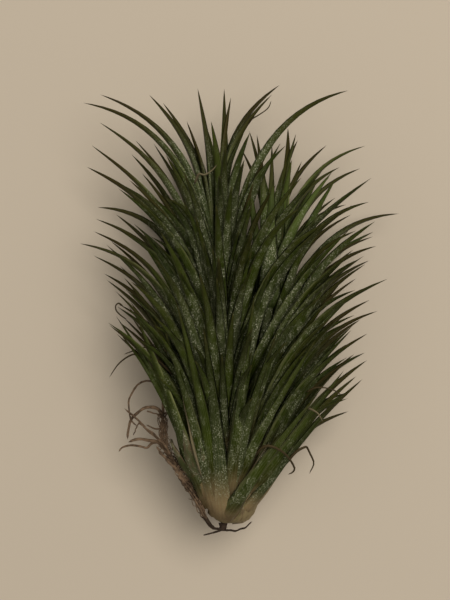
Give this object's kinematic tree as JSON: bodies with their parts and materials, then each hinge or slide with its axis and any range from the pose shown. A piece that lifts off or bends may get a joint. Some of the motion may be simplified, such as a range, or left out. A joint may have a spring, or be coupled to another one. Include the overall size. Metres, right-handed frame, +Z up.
{
  "type": "ionantha scaposa air plant",
  "caption": "Picked air plant lying on its side: a large head and a smaller offset of narrow, arching green leaves, with papery base sheaths and wiry brown roots.",
  "frame": {"origin": "bottom centre of the box round the plant, on the surface it lies on", "axes": "+Y along the stems from the base to the growing tips, +X to the plant's right as the picture shows it, +Z up off the surface and towards the picture's viewer"},
  "size_m": [0.145, 0.203, 0.1046],
  "materials": {
    "leaf": "dark olive green leaf with fine silvery scales",
    "sheath": "dry papery leaf base",
    "root": "dull brown wiry root"
  },
  "bodies": {
    "root": {"main_head": "leaf", "offset_head": "leaf", "base_sheaths": "sheath", "roots": "root"}
  },
  "joints": []
}
